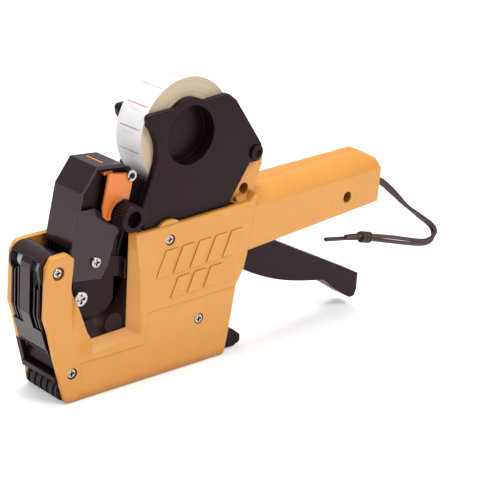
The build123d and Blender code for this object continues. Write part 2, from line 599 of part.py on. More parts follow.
def throat_wall():
    """Dark wall below the label exit, with a cheek in front of the far arm's shortened edge."""
    wall = block((-54.4, -53.0), (-13.4, 13.4), (16.8, 26.8))
    cheek_outline = [(-59.3, 26.8), (-56.5, 26.8), (-54.9, 20), (-53.7, 14.2), (-53.5, 10.2), (-55.0, 10.0)]
    cheek = slab(cheek_outline, 12.9, 16.4)
    return wall + cheek


def inner_panel():
    """Dark panel on the far inside wall, behind the window."""
    panel = block((-7.9, 14.0), (12.6, INNER - 0.05), (27.0, 79.0))
    for x, z in CASING_SCREWS:
        panel -= rod(x, z, 4.0, 0, 20)
    rivet = rod(-1.1, 50.9, 1.0, 12.2, 12.7)
    return panel + rivet


def nose_bar():
    return slab([(-57.6, 15.2), (-56.4, 11.4), (-53.0, 11.2), (-52.6, 16.4)], -13.8, 12.8, 0.6)


def applicator_roller():
    roller = rod(APPLICATOR_X, APPLICATOR_Z, APPLICATOR_R, -12.6, 12.6)
    for index in range(5):
        y = -10.0 + index * 5.0
        roller -= tube(APPLICATOR_X, APPLICATOR_Z, 9.0, APPLICATOR_R - 1.3, y - 0.9, y + 0.9)
    return roller - rod(APPLICATOR_X, APPLICATOR_Z, 1.5 + RUN, -20, 20)


def applicator_axle():
    return rod(APPLICATOR_X, APPLICATOR_Z, 1.5, -15.1, 15.1)


def feed_wheel():
    """Feed drum with five rows of pegs and a ratchet ring on its far side."""
    wheel = rod(FEED_X, FEED_Z, FEED_R, -9.4, 9.4)
    for index in range(5):
        angle = math.tau * index / 5
        for y in (-7.5, 7.5):
            peg = Pos(0, y, 0) * Rot(0, -math.degrees(angle), 0) * Pos(FEED_R, 0, 0) * Box(1.6, 1.4, 1.4)
            wheel += Pos(FEED_X, 0, FEED_Z) * peg
    teeth = []
    for index in range(RATCHET_TEETH):
        base_angle = math.tau * index / RATCHET_TEETH
        teeth.append((FEED_X + 5.6 * math.cos(base_angle), FEED_Z + 5.6 * math.sin(base_angle)))
        teeth.append((FEED_X + 7.4 * math.cos(base_angle), FEED_Z + 7.4 * math.sin(base_angle)))
    wheel += slab(teeth, 9.4, 11.8)
    return wheel - rod(FEED_X, FEED_Z, 2.0 + RUN, -20, 20)




def feed_axle():
    return rod(FEED_X, FEED_Z, 2.0, -13.7, 13.7)


def feed_pawl():
    pawl = slab([(4, 19), (-9.9, 15.4), (-9.9, 13.6), (4, 14)], 9.8, 11.6)
    pawl += rod(PAWL_X, PAWL_Z, 2.8, 9.8, 11.6)
    return pawl - rod(PAWL_X, PAWL_Z, 1.2 + RUN, 0, 20)


def pawl_pin():
    return rod(PAWL_X, PAWL_Z, 1.2, 9.0, INNER)


# ---- bottom cover ----
def bottom_cover():
    plate = block((-38.5, 48.0), (-13.6, 13.6), (0.0, 2.2))
    plate += both_sides(slab([(-42, 1.2), (-41.5, 6), (-36.5, 7), (-33, 2), (-33, 0), (-40, 0)], 11.0, 13.4))
    plate += both_sides(block((-30, 40), (12.4, 13.6), (2.0, 4.0)))
    plate += both_sides(rod(LATCH_X, LATCH_Z, 3.0, 12.4, 13.5) + block((43, 48), (12.4, 13.5), (0, 4.5)))
    for index in range(4):
        x = -20 + index * 16
        plate -= block((x, x + 3), (-8, 8), (-1, 0.5))
    plate -= rod(LATCH_X, LATCH_Z, 1.2 + RUN, -20, 20)
    return plate - rod(BASE_HINGE_X, BASE_HINGE_Z, 1.5 + RUN, -20, 20)


def base_hinge_pin():
    return rod(BASE_HINGE_X, BASE_HINGE_Z, 1.5, -15.1, 15.1)


def cover_latch():
    tab = slab([(44.5, 3.0), (49.0, 2.6), (50, 1.0), (62.5, 0.6), (67.0, 2.4), (66.8, 6.4), (61.0, 11.0),
                (51.0, 12.4),
                (44.5, 7.0)], -12.1, 12.1)
    tab = soften(tab, 1.5, [e for e in tab.edges().filter_by(Axis.Y) if (e @ 0.5).X > 60])
    return tab - rod(LATCH_X, LATCH_Z, 1.2 + RUN, -20, 20)


def latch_pin():
    return rod(LATCH_X, LATCH_Z, 1.2, -13.4, 13.4)


# ---- strap ----


def strap():
    """Looped cord, as one closed solid with rounded bends between short spans, and an eye round its pin."""
    path = Polyline(*STRAP_PATH)
    cord_end = Plane(origin=path @ 0, z_dir=path % 0) * Circle(STRAP_R)
    cord = sweep(cord_end, path=path, transition=Transition.ROUND)
    eye = rod(STRAP_X, STRAP_Z, 3.2, -2.6, 2.6)
    return cord + eye - rod(STRAP_X, STRAP_Z, 1.5 + RUN, -5, 5)


def strap_pin():
    return rod(STRAP_X, STRAP_Z, 1.5, -11.4, 11.4)


def lever_pin():
    return rod(LEVER_X, LEVER_Z, PIVOT_R, -13.7, 13.7)


def arm_pin():
    return rod(ARM_X, ARM_Z, PIVOT_R, -13.7, 13.7)


def link_pin():
    return rod(*LINK_LOW, LINK_PIN_R, -6.0, 6.0)


def arm_cross_pin():
    return rod(*LINK_HIGH, LINK_PIN_R, -11.2, 11.2)


def build_all():
    near_half, far_half = casing_halves()
    far_plate = roll_plate()
    return {
        "casing_left": near_half, "casing_right": far_half, "casing_screws": casing_screws(),
        "lever": lever(), "lever_pin": lever_pin(), "lever_spring": lever_spring(),
        "drive_link": drive_link(), "link_pin": link_pin(), "arm_cross_pin": arm_cross_pin(),
        "print_arm": print_arm(), "arm_pin": arm_pin(),
        "head_housing": head_housing(), "type_carriage": type_carriage(), "type_bed": type_bed(),
        "type_bands": type_bands(), "idle_band_wheels": idle_band_wheels(),
        "driven_band_wheel": driven_band_wheel(),
        "head_screws": head_screws(), "selector_shaft": selector_shaft(), "selector_knob": selector_knob(),
        "indicator": indicator(), "indicator_rod": indicator_rod(), "rod_clip": rod_clip(),
        "scale_strip": scale_strip(),
        "ink_cover": ink_cover(), "ink_cover_axle": ink_cover_axle(), "axle_screw": axle_screw(),
        "ink_holder": ink_holder(), "ink_axle": ink_axle(), "ink_roller": ink_roller(),
        "roll_plate_right": far_plate, "roll_plate_left": mirror(far_plate, about=Plane.XZ),
        "roll_plate_pin": roll_plate_pin(), "roll_guard": roll_guard(),
        "label_core": label_core(), "label_roll": label_roll(),
        "label_web": label_web(), "label_bed": label_bed(), "nose_bar": nose_bar(),
        "throat_wall": throat_wall(), "inner_panel": inner_panel(),
        "applicator_roller": applicator_roller(), "applicator_axle": applicator_axle(),
        "feed_wheel": feed_wheel(), "feed_axle": feed_axle(), "feed_pawl": feed_pawl(), "pawl_pin": pawl_pin(),
        "bottom_cover": bottom_cover(), "base_hinge_pin": base_hinge_pin(),
        "cover_latch": cover_latch(), "latch_pin": latch_pin(), "strap": strap(), "strap_pin": strap_pin(),
    }


os.makedirs("parts", exist_ok=True)
for node, shape in build_all().items():
    export_step(shape, f"parts/{node}.step")
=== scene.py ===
import json
import math
import random

import bmesh
import bpy
from mathutils import Matrix, Vector


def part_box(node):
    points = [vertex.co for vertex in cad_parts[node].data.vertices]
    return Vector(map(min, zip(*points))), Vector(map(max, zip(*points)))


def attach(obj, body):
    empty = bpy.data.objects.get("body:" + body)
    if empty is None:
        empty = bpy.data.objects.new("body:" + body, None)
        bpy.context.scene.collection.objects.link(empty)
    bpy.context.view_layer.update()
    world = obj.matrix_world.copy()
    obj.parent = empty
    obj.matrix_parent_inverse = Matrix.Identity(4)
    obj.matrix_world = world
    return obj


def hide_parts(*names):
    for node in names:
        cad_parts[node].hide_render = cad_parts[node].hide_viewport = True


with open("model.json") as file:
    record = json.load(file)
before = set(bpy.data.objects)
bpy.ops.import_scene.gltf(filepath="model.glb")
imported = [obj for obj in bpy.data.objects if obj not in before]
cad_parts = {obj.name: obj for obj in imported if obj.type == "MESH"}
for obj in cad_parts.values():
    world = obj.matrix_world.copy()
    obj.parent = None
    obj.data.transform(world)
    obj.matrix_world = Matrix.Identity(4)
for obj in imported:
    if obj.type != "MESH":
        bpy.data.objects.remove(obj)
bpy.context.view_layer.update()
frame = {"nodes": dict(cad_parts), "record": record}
nodes = frame["nodes"]
MM = 0.001
SEED = 7

# ---- colours (linear) ----
ORANGE = (0.77, 0.335, 0.058)
ORANGE_DEEP = (0.60, 0.205, 0.026)
BLACK = (0.0145, 0.0056, 0.0068)
BLACK_DEEP = (0.008, 0.0035, 0.0042)
GLOSS = (0.0180, 0.0076, 0.0094)
POINTER = (0.87, 0.235, 0.040)
POINTER_DEEP = (0.62, 0.12, 0.014)
STEEL = (0.58, 0.57, 0.55)
BRIGHT_STEEL = (0.66, 0.63, 0.60)
PAPER = (0.91, 0.90, 0.915)
PAPER_SIDE = (0.66, 0.535, 0.37)
PRINT_RED = (0.50, 0.09, 0.10)
# painted shade on the lower part of the label strip
STRIP_SHADE = (0.10, 0.036, 0.028)
CARD = (0.42, 0.29, 0.16)
CORD = (0.040, 0.016, 0.013)
BLACK_EDGE_HIGHLIGHT = (0.060, 0.045, 0.049)
WARM_SHINE = (1.0, 0.74, 0.78)
RUBBER = (0.018, 0.015, 0.015)
FELT = (0.030, 0.022, 0.050)
NYLON = (0.78, 0.78, 0.80)
NYLON_DEEP = (0.62, 0.61, 0.63)
DUST = (0.09, 0.08, 0.075)
FELT_DEEP = (0.005, 0.004, 0.012)
SHEET_SHADE = (0.80, 0.79, 0.83)
CUT_SHADE = (0.55, 0.53, 0.55)

# ---- labels ----
LABEL_PITCH = 12 * MM
LABEL_WIDTH = 19.7 * MM
LINE_HALF = 7.7 * MM                   # half the length of a ruled line
LINE_PLACE = (0.5, 0.030)              # middle and half height of the ruled line, in pitches
CUT_HALF = 0.012                       # half the height of the cut between two labels, in pitches
# Rows of plain marks: middle, half height, marks in half the width, share of each filled, reach sideways.
MARK_ROWS = ((0.72, 0.07, 13.0, 0.45, 0.42), (0.30, 0.035, 5.0, 0.16, 0.18))
STRIP_SHADE_HEIGHTS = (64 * MM, 92 * MM)     # heights between which the painted shade on the strip fades out upwards into the plain labels
ROLL_START = 0.35                      # where the first label starts on the roll, in pitches
STRIP_START = 0.2                      # the same on the strip

# ---- shading ----
SHADER_SAMPLES = 6
EDGE_BEND = (0.985, 0.80)              # cosine of the rounded normal's lean where the painted edge highlight and wear start and are full
MOULD_GRAIN = 0.02 * MM
POLISHED_GRAIN = 0.008 * MM


# ---- shader helpers ----
def scaled(colour, share):
    """A colour made darker or lighter."""
    return tuple(channel * share for channel in colour)


class Shader:
    """A material with short calls for its nodes."""

    def __init__(self, name):
        self.material = bpy.data.materials.new(name)
        self.material.use_nodes = True
        self.tree = self.material.node_tree
        self.bsdf = self.tree.nodes["Principled BSDF"]
        self.rounded = None
        self.place = self.node("ShaderNodeTexCoord").outputs["Object"]

    def node(self, kind, **settings):
        made = self.tree.nodes.new(kind)
        for key, value in settings.items():
            setattr(made, key, value)
        return made

    def feed(self, socket, value):
        if hasattr(value, "is_output"):
            self.tree.links.new(value, socket)
        elif isinstance(value, tuple) and len(value) == 3 and socket.type == "RGBA":
            socket.default_value = (*value, 1)
        else:
            socket.default_value = value

    def math(self, operation, a, b=0.0, c=0.0):
        made = self.node("ShaderNodeMath", operation=operation)
        for socket, value in zip(made.inputs, (a, b, c)):
            self.feed(socket, value)
        return made.outputs[0]

    def noise(self, scale, detail=3.0, rough=0.5, at=None):
        made = self.node("ShaderNodeTexNoise")
        self.feed(made.inputs["Vector"], at or self.place)
        self.feed(made.inputs["Scale"], scale)
        self.feed(made.inputs["Detail"], detail)
        self.feed(made.inputs["Roughness"], rough)
        return made.outputs["Fac"]

    def ramp(self, value, low, high, to_low=0.0, to_high=1.0):
        made = self.node("ShaderNodeMapRange")
        ends = {"Value": value, "From Min": low, "From Max": high, "To Min": to_low, "To Max": to_high}
        for key, number in ends.items():
            self.feed(made.inputs[key], number)
        return made.outputs[0]

    def mix(self, share, a, b):
        made = self.node("ShaderNodeMix", data_type="RGBA")
        self.feed(made.inputs["Factor"], share)
        self.feed(made.inputs["A"], a)
        self.feed(made.inputs["B"], b)
        return made.outputs["Result"]

    def stretch(self, x, y, z):
        made = self.node("ShaderNodeMapping")
        self.feed(made.inputs["Vector"], self.place)
        made.inputs["Scale"].default_value = (x, y, z)
        return made.outputs[0]

    def edges(self, radius=0.45 * MM):
        """1 along edges and 0 on flats; also rounds the shading of each edge."""
        rounded = self.node("ShaderNodeBevel", samples=SHADER_SAMPLES)
        rounded.inputs["Radius"].default_value = radius
        self.rounded = rounded.outputs[0]
        compare = self.node("ShaderNodeVectorMath", operation="DOT_PRODUCT")
        self.feed(compare.inputs[0], self.rounded)
        self.feed(compare.inputs[1], self.node("ShaderNodeNewGeometry").outputs["Normal"])
        return self.ramp(compare.outputs["Value"], *EDGE_BEND)

    def painted_shade_mask(self, distance, low=0.35, high=0.9):
        """0 deep in a corner or recess, 1 in the open; the mask for painted shade."""
        made = self.node("ShaderNodeAmbientOcclusion", samples=SHADER_SAMPLES)
        made.inputs["Distance"].default_value = distance
        return self.ramp(made.outputs["AO"], low, high)

    def bump(self, height, distance, strength=1.0):
        made = self.node("ShaderNodeBump")
        self.feed(made.inputs["Height"], height)
        made.inputs["Distance"].default_value = distance
        made.inputs["Strength"].default_value = strength
        if self.rounded is not None:
            self.feed(made.inputs["Normal"], self.rounded)
        self.tree.links.new(made.outputs[0], self.bsdf.inputs["Normal"])

    def set(self, **inputs):
        for key, value in inputs.items():
            self.feed(self.bsdf.inputs[key.replace("_", " ")], value)
        return self


def moulded_plastic(name, colour, dark, roughness, grain=MOULD_GRAIN, coat=0.0, edge_light=1.35,
                    depth=7 * MM, shine=0.5, edge=None, tint=(1, 1, 1)):
    """Injection-moulded plastic: faint flow marks, fine grain, painted shade in corners, a painted
    highlight with some wear on its edges.
    """
    s = Shader(name)
    flow = s.ramp(s.noise(scale=38, detail=4, rough=0.6), low=0.32, high=0.72)
    base = s.mix(s.math("MULTIPLY", flow, 0.2), colour, dark)
    # Painted shade: the colour turns dark towards corners and recesses.
    base = s.mix(s.painted_shade_mask(depth), scaled(dark, 0.55), base)
    # Painted highlight, with some wear: a lighter colour along rounded edges, in patches.
    light = edge or tuple(min(1.0, channel * edge_light + 0.012) for channel in colour)
    patchy = s.ramp(s.noise(scale=420, detail=3, rough=0.6), low=0.35, high=0.7, to_low=0.3, to_high=0.9)
    base = s.mix(s.math("MULTIPLY", s.edges(), patchy), base, light)
    blotch = s.noise(scale=110, detail=5, rough=0.65)
    smear = s.ramp(blotch, low=0.35, high=0.75, to_low=-0.035, to_high=0.05)
    s.set(Base_Color=base, Roughness=s.math("ADD", smear, roughness), Specular_IOR_Level=shine)
    s.set(Coat_Weight=coat, Coat_Roughness=0.12, Specular_Tint=tint)
    s.bump(s.noise(scale=2600, detail=2, rough=0.5), grain, strength=0.35)
    return s.material


def metal(name, colour, roughness, streak=1400):
    """Turned or plated steel: fine machining lines, painted shade in recesses, a little tarnish."""
    s = Shader(name)
    lines = s.noise(scale=streak, detail=2, rough=0.6, at=s.stretch(1, 0.15, 1))
    tarnish = s.ramp(s.noise(scale=160, detail=4, rough=0.6), low=0.35, high=0.8)
    base = s.mix(s.math("MULTIPLY", tarnish, 0.5), colour, scaled(colour, 0.5))
    # Painted shade: the colour turns near black in recesses, such as a screw head's cross.
    base = s.mix(s.painted_shade_mask(1.1 * MM, low=0.45, high=0.85), scaled(colour, 0.07), base)
    s.edges(radius=0.15 * MM)
    uneven = s.ramp(lines, low=0.3, high=0.7, to_low=roughness * 0.7, to_high=roughness * 1.4)
    s.set(Base_Color=base, Metallic=1.0, Roughness=uneven)
    s.bump(lines, distance=0.02 * MM, strength=0.4)
    return s.material


def rubber(name):
    """Moulded rubber with a little dust on it."""
    s = Shader(name)
    dust = s.ramp(s.noise(scale=240, detail=4, rough=0.7), low=0.45, high=0.8)
    s.set(Base_Color=s.mix(s.math("MULTIPLY", dust, 0.3), RUBBER, DUST), Roughness=0.62)
    s.bump(s.noise(scale=3200, detail=2, rough=0.6), distance=0.04 * MM, strength=0.5)
    return s.material


def felt(name):
    """Inked felt: short tangled fibres."""
    s = Shader(name)
    fibres = s.noise(scale=1900, detail=4, rough=0.8)
    s.set(Base_Color=s.mix(fibres, FELT, FELT_DEEP), Roughness=0.9, Sheen_Weight=0.4)
    s.bump(fibres, distance=0.2 * MM, strength=0.8)
    return s.material


def cord_weave(name):
    """Braided cord: small crossed strands along the strip's own length, with painted shade between them
    and a painted highlight on their tops.
    """
    s = Shader(name)
    uv = s.node("ShaderNodeUVMap", uv_map="weave").outputs[0]
    split = s.node("ShaderNodeSeparateXYZ")
    s.feed(split.inputs[0], uv)
    along, around = split.outputs[0], split.outputs[1]
    across = s.math("MULTIPLY", around, 2.0)
    left = s.math("SINE", s.math("MULTIPLY", s.math("ADD", along, across), math.tau))
    right = s.math("SINE", s.math("MULTIPLY", s.math("SUBTRACT", along, across), math.tau))
    strands = s.math("MAXIMUM", left, right)
    # Painted shade in the grooves between strands and painted highlight on the strand tops.
    tone = s.ramp(strands, low=-0.6, high=1.0)
    s.set(Base_Color=s.mix(tone, scaled(CORD, 0.35), scaled(CORD, 1.9)))
    s.set(Roughness=0.6, Sheen_Weight=0.15)
    s.bump(strands, distance=0.12 * MM, strength=0.8)
    return s.material


def card(name):
    """Brown card with a fibrous surface."""
    s = Shader(name)
    fibre = s.noise(scale=700, detail=5, rough=0.7)
    s.set(Base_Color=s.mix(fibre, CARD, scaled(CARD, 0.7)), Roughness=0.85)
    s.bump(fibre, distance=0.08 * MM, strength=0.5)
    return s.material


def paper_edges(name):
    """The side of a roll: many thin layers wound tightly."""
    s = Shader(name)
    split = s.node("ShaderNodeSeparateXYZ")
    s.feed(split.inputs[0], s.place)
    low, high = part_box("label_roll")
    centre = (low + high) / 2
    dx = s.math("SUBTRACT", split.outputs[0], centre.x)
    dz = s.math("SUBTRACT", split.outputs[2], centre.z)
    radius = s.math("SQRT", s.math("ADD", s.math("MULTIPLY", dx, dx), s.math("MULTIPLY", dz, dz)))
    wobble = s.math("ADD", radius, s.math("MULTIPLY", s.noise(scale=60, detail=2), 0.6 * MM))
    layers = s.node("ShaderNodeTexNoise", noise_dimensions="1D")
    s.feed(layers.inputs["W"], wobble)
    s.feed(layers.inputs["Scale"], 2600)
    s.feed(layers.inputs["Detail"], 3.0)
    wide = s.node("ShaderNodeTexNoise", noise_dimensions="1D")
    s.feed(wide.inputs["W"], wobble)
    s.feed(wide.inputs["Scale"], 380)
    fine_share = s.math("MULTIPLY", layers.outputs["Fac"], 0.55)
    wide_share = s.math("MULTIPLY", wide.outputs["Fac"], 0.45)
    tone = s.ramp(s.math("ADD", fine_share, wide_share), low=0.35, high=0.65)
    s.set(Base_Color=s.mix(tone, scaled(PAPER_SIDE, 0.78), scaled(PAPER_SIDE, 1.1)), Roughness=0.75)
    s.bump(layers.outputs["Fac"], distance=0.08 * MM, strength=0.5)
    return s.material


def label_print(name, painted_shade_low=False):
    """White labels with a red ruled line every pitch and plain rows of small marks between them."""
    s = Shader(name)
    uv = s.node("ShaderNodeUVMap", uv_map="label").outputs[0]
    split = s.node("ShaderNodeSeparateXYZ")
    s.feed(split.inputs[0], uv)
    along, across = split.outputs[0], split.outputs[1]
    place = s.math("FRACT", along)
    side = s.math("ABSOLUTE", across)
    inside = s.math("LESS_THAN", side, LINE_HALF / (LABEL_WIDTH / 2))
    line = s.math("MULTIPLY", s.math("COMPARE", place, *LINE_PLACE), inside)
    cut = s.math("COMPARE", place, 0.0, CUT_HALF)
    marks = 0.0
    for centre, height, count, fill, reach in MARK_ROWS:
        row = s.math("COMPARE", place, centre, height)
        bit = s.math("LESS_THAN", s.math("FRACT", s.math("MULTIPLY", across, count)), fill)
        near = s.math("LESS_THAN", side, reach)
        marks = s.math("MAXIMUM", marks, s.math("MULTIPLY", s.math("MULTIPLY", row, bit), near))
    faint = s.math("MULTIPLY", marks, 0.38)
    ink = s.math("MAXIMUM", s.math("MULTIPLY", line, 0.8), faint)
    worn = s.ramp(s.noise(scale=900, detail=2), low=0.25, high=0.6, to_low=0.55, to_high=1.0)
    ink = s.math("MULTIPLY", ink, worn)
    sheet = s.mix(s.math("MULTIPLY", s.noise(scale=45, detail=3), 0.12), PAPER, SHEET_SHADE)
    sheet = s.mix(s.math("MULTIPLY", cut, 0.18), sheet, CUT_SHADE)
    colour = s.mix(ink, sheet, PRINT_RED)
    # Painted shade: the strip turns dark reddish brown lower down, where it runs into the casing's shadow.
    if painted_shade_low:
        height = s.node("ShaderNodeSeparateXYZ")
        s.feed(height.inputs[0], s.place)
        colour = s.mix(s.ramp(height.outputs[2], *STRIP_SHADE_HEIGHTS), STRIP_SHADE, colour)
    s.set(Base_Color=colour, Roughness=0.42, Coat_Weight=0.15)
    groove = s.math("MULTIPLY", cut, -1.0)
    grain = s.math("MULTIPLY", s.noise(scale=1500, detail=2), 0.2)
    s.bump(s.math("ADD", groove, grain), distance=0.05 * MM, strength=0.5)
    return s.material


MATERIALS = {
    "casing_plastic": moulded_plastic("casing_plastic", ORANGE, ORANGE_DEEP, roughness=0.33, coat=0.22,
                                      edge_light=1.15),
    "black_plastic": moulded_plastic("black_plastic", BLACK, BLACK_DEEP, roughness=0.34, shine=0.20,
                                     edge=BLACK_EDGE_HIGHLIGHT, tint=WARM_SHINE),
    "gloss_black": moulded_plastic("gloss_black", GLOSS, BLACK_DEEP, roughness=0.20, grain=POLISHED_GRAIN,
                                   coat=0.30, shine=0.42, edge=BLACK_EDGE_HIGHLIGHT, tint=WARM_SHINE),
    "indicator_plastic": moulded_plastic("indicator_plastic", POINTER, POINTER_DEEP, roughness=0.30,
                                         coat=0.25, edge_light=1.1, depth=3 * MM),
    "white_nylon": moulded_plastic("white_nylon", NYLON, NYLON_DEEP, roughness=0.42, edge_light=1.05),
    "screw_steel": metal("screw_steel", BRIGHT_STEEL, roughness=0.20),
    "pin_steel": metal("pin_steel", STEEL, roughness=0.30),
    "label_paper": label_print("label_paper"),
    "core_card": card("core_card"),
    "type_rubber": rubber("type_rubber"),
    "ink_foam": felt("ink_foam"),
    "strap_cord": cord_weave("strap_cord"),
    "paper_edges": paper_edges("paper_edges"),
    "strip_paper": label_print("strip_paper", painted_shade_low=True),
}


# ---- mesh helpers ----
SMOOTH_LIMIT = math.cos(math.radians(36))     # faces that meet more gently than this shade as one surface
COPLANAR = 0.99998                            # cosine above which two faces count as one flat
FLAT_AREA = 2.5 * MM * MM                     # smallest flat that keeps its own normal
SHARP_ANGLE = math.radians(40)
WELD = 0.002 * MM


def place_piece(obj, body):
    """Puts an object on the body it moves with."""
    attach(obj, body)
    return obj


def new_piece(name, bm, body, slot, *materials):
    """A smooth mesh object made from bm, with its own materials."""
    mesh = bpy.data.meshes.new(name)
    bm.to_mesh(mesh)
    bm.free()
    mesh.shade_smooth()
    mesh.set_sharp_from_angle(angle=SHARP_ANGLE)
    obj = bpy.data.objects.new(name, mesh)
    bpy.context.scene.collection.objects.link(obj)
    for material in materials or (slot,):
        mesh.materials.append(MATERIALS[material])
    return place_piece(obj, body)


def flat_regions(bm):
    """For each face: the area of the flat region it belongs to."""
    area = [0.0] * len(bm.faces)
    seen = [False] * len(bm.faces)
    for start in bm.faces:
        if seen[start.index]:
            continue
        seen[start.index] = True
        region, waiting = [], [start]
        while waiting:
            face = waiting.pop()
            region.append(face)
            for edge in face.edges:
                for other in edge.link_faces:
                    if not seen[other.index] and other.normal.dot(face.normal) > COPLANAR:
                        seen[other.index] = True
                        waiting.append(other)
        total = sum(face.calc_area() for face in region)
        for face in region:
            area[face.index] = total
    return area


def corner_normal(face, vert, area):
    """Flat faces keep their own normal; curved ones blend together and run into the flats."""
    if area[face.index] > FLAT_AREA:
        return face.normal.copy()
    blend, best, best_area = Vector(), None, FLAT_AREA
    for other in vert.link_faces:
        if other.normal.dot(face.normal) > SMOOTH_LIMIT:
            blend += other.normal * other.calc_area()
            if area[other.index] > best_area:
                best, best_area = other.normal, area[other.index]
    if best is not None:
        return best.copy()
    return blend.normalized() if blend.length > 0 else face.normal.copy()


def shaded_copy(node, body, slot):
    """A copy of a CAD node, shaded as moulded or turned surfaces, standing for the node."""
    bm = bmesh.new()
    bm.from_mesh(nodes[node].data)
    bmesh.ops.remove_doubles(bm, verts=bm.verts, dist=WELD)
    bm.faces.ensure_lookup_table()
    bm.faces.index_update()
    bm.normal_update()
    area = flat_regions(bm)
    normals = [corner_normal(face, loop.vert, area) for face in bm.faces for loop in face.loops]
    mesh = bpy.data.meshes.new(node + "_shaded")
    bm.to_mesh(mesh)
    bm.free()
    mesh.shade_smooth()
    mesh.normals_split_custom_set(normals)
    mesh.materials.clear()
    mesh.materials.append(MATERIALS[slot])
    obj = bpy.data.objects.new(node + "_shaded", mesh)
    bpy.context.scene.collection.objects.link(obj)
    place_piece(obj, body)
    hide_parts(node)
    return obj


# ---- parts that keep their CAD shape ----
MADE_HERE = ("label_roll", "label_web", "strap")


def shaded_parts():
    """Gives each CAD node its material, and a shaded copy unless the node is made anew below."""
    bodies = frame["record"]["behaviour"]["bodies"]
    body_of = {node: body for body, members in bodies.items() for node in members}
    for entry in frame["record"]["subparts"]:
        node, slot = entry["node"], entry["material_slot"]
        nodes[node].data.materials.clear()
        nodes[node].data.materials.append(MATERIALS[slot])
        if node not in MADE_HERE:
            shaded_copy(node, body_of[node], slot)


# ---- label roll and strip ----
ROLL_STEPS = 200
ROLL_RINGS = 16
RING_STAGGER = 0.12 * MM     # how far a ring of layers may sit inside the roll's side
ROLL_GAP = 0.02 * MM


def label_roll():
    """The wound roll: printed outside, layered sides, each ring a little in or out of line."""
    rng = random.Random(SEED)
    low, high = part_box("label_roll")
    centre = (low + high) / 2
    outer = (high.x - low.x) / 2
    core_low, core_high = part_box("label_core")
    inner = (core_high.x - core_low.x) / 2 + ROLL_GAP
    half = (high.y - low.y) / 2
    steps, rings = ROLL_STEPS, ROLL_RINGS
    bm = bmesh.new()
    uv = bm.loops.layers.uv.new("label")
    radii = [inner + (outer - inner) * i / rings for i in range(rings + 1)]
    depths = [half - rng.uniform(0.0, RING_STAGGER) for _ in radii]
    depths[-1] = half - ROLL_GAP
    loops = {}
    for side in (-1, 1):
        for ring, (radius, depth) in enumerate(zip(radii, depths)):
            loops[side, ring] = [
                bm.verts.new((centre.x + radius * math.cos(math.tau * i / steps), side * depth,
                              centre.z + radius * math.sin(math.tau * i / steps))) for i in range(steps)]
    for i in range(steps):
        j = (i + 1) % steps
        for side in (-1, 1):
            for ring in range(rings):
                a, b = loops[side, ring], loops[side, ring + 1]
                face = bm.faces.new((a[i], a[j], b[j], b[i]) if side < 0 else (a[i], b[i], b[j], a[j]))
                face.material_index = 1
        for ring in (0, rings):
            near, far = loops[-1, ring], loops[1, ring]
            quad = (near[i], near[j], far[j], far[i]) if ring else (near[i], far[i], far[j], near[j])
            face = bm.faces.new(quad)
            face.material_index = 0 if ring else 1
            for loop in face.loops:
                turn = i if loop.vert in (near[i], far[i]) else i + 1
                along = math.tau * turn / steps * outer / LABEL_PITCH
                loop[uv].uv = (along + ROLL_START, loop.vert.co.y / (LABEL_WIDTH / 2))
    bmesh.ops.recalc_face_normals(bm, faces=bm.faces)
    obj = new_piece("paper_roll", bm, "label_roll", "label_paper", "label_paper", "paper_edges")
    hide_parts("label_roll")


def label_strip():
    """The strip of labels, printed like the roll, with its marks spaced along its run."""
    bm = bmesh.new()
    bm.from_mesh(nodes["label_web"].data)
    bmesh.ops.remove_doubles(bm, verts=bm.verts, dist=WELD)
    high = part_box("label_web")[1]
    uv = bm.loops.layers.uv.new("label")
    for face in bm.faces:
        for loop in face.loops:
            point = loop.vert.co
            along = (high.z - point.z + high.x - point.x) / LABEL_PITCH
            loop[uv].uv = (along + STRIP_START, point.y / (LABEL_WIDTH / 2))
    obj = new_piece("paper_strip", bm, "casing", "label_paper", "strip_paper")
    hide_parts("label_web")


# ---- wrist strap ----
# From the pin, out behind the grip, round the loop's low end and back along the near side, in millimetres.
STRAP_PATH = [(162.2, 0, 72), (171, -0.4, 72.9), (180.9, -1.0, 70.0), (191.7, -2.0, 61.9),
              (203.3, -3.5, 51.8), (214.8, -5.3, 43.2), (222.6, -7.2, 37.4), (225.2, -8.6, 33.2),
              (223, -10.0, 29.6), (216.5, -11.2, 28.6), (204.5, -12.3, 31.2), (178.7, -13.5, 38.7),
              (150.7, -14.2, 46.0), (127.0, -14.6, 49.6)]
STRAND_R = 1.20 * MM
STRAND_GAP = 1.12 * MM      # from the pair's middle line to each strand's own
SHORT_END = 9               # points by which the second strand stops short
TWIST = (0.4, 0.9, 0.05)    # the pair's lean, how far it rocks and how fast, in radians
WANDER = (0.18, 0.11)       # how much the gap between the strands changes, and how fast
SPLAY = 0.9                 # how far the loose ends part
WEAVE_LENGTH = 2.2 * MM
KNOT_AT = 0.90              # share of the path's length
KNOT_TURNS = 3
KNOT_STEPS = 16             # points in one turn
KNOT_LENGTH = 5             # points of the path that the knot covers
KNOT_WIDTH = 1.35           # across the pair, against its height
KNOT_REACH = 1.75 * STRAND_R
KNOT_CORD_R = 0.95 * STRAND_R
TIP = 0.5                   # height of a cord's pointed end, as a share of its radius


def smooth_path(points, per_span=16):
    """Points along a smooth curve through the given ones."""
    spots = [Vector(p) * MM for p in points]
    spots = [spots[0] * 2 - spots[1]] + spots + [spots[-1] * 2 - spots[-2]]
    path = []
    for a, b, c, d in zip(spots, spots[1:], spots[2:], spots[3:]):
        for step in range(per_span):
            t = step / per_span
            path.append(0.5 * ((2 * b) + (c - a) * t + (2 * a - 5 * b + 4 * c - d) * t * t
                               + (3 * b - a - 3 * c + d) * t ** 3))
    path.append(spots[-2])
    return path


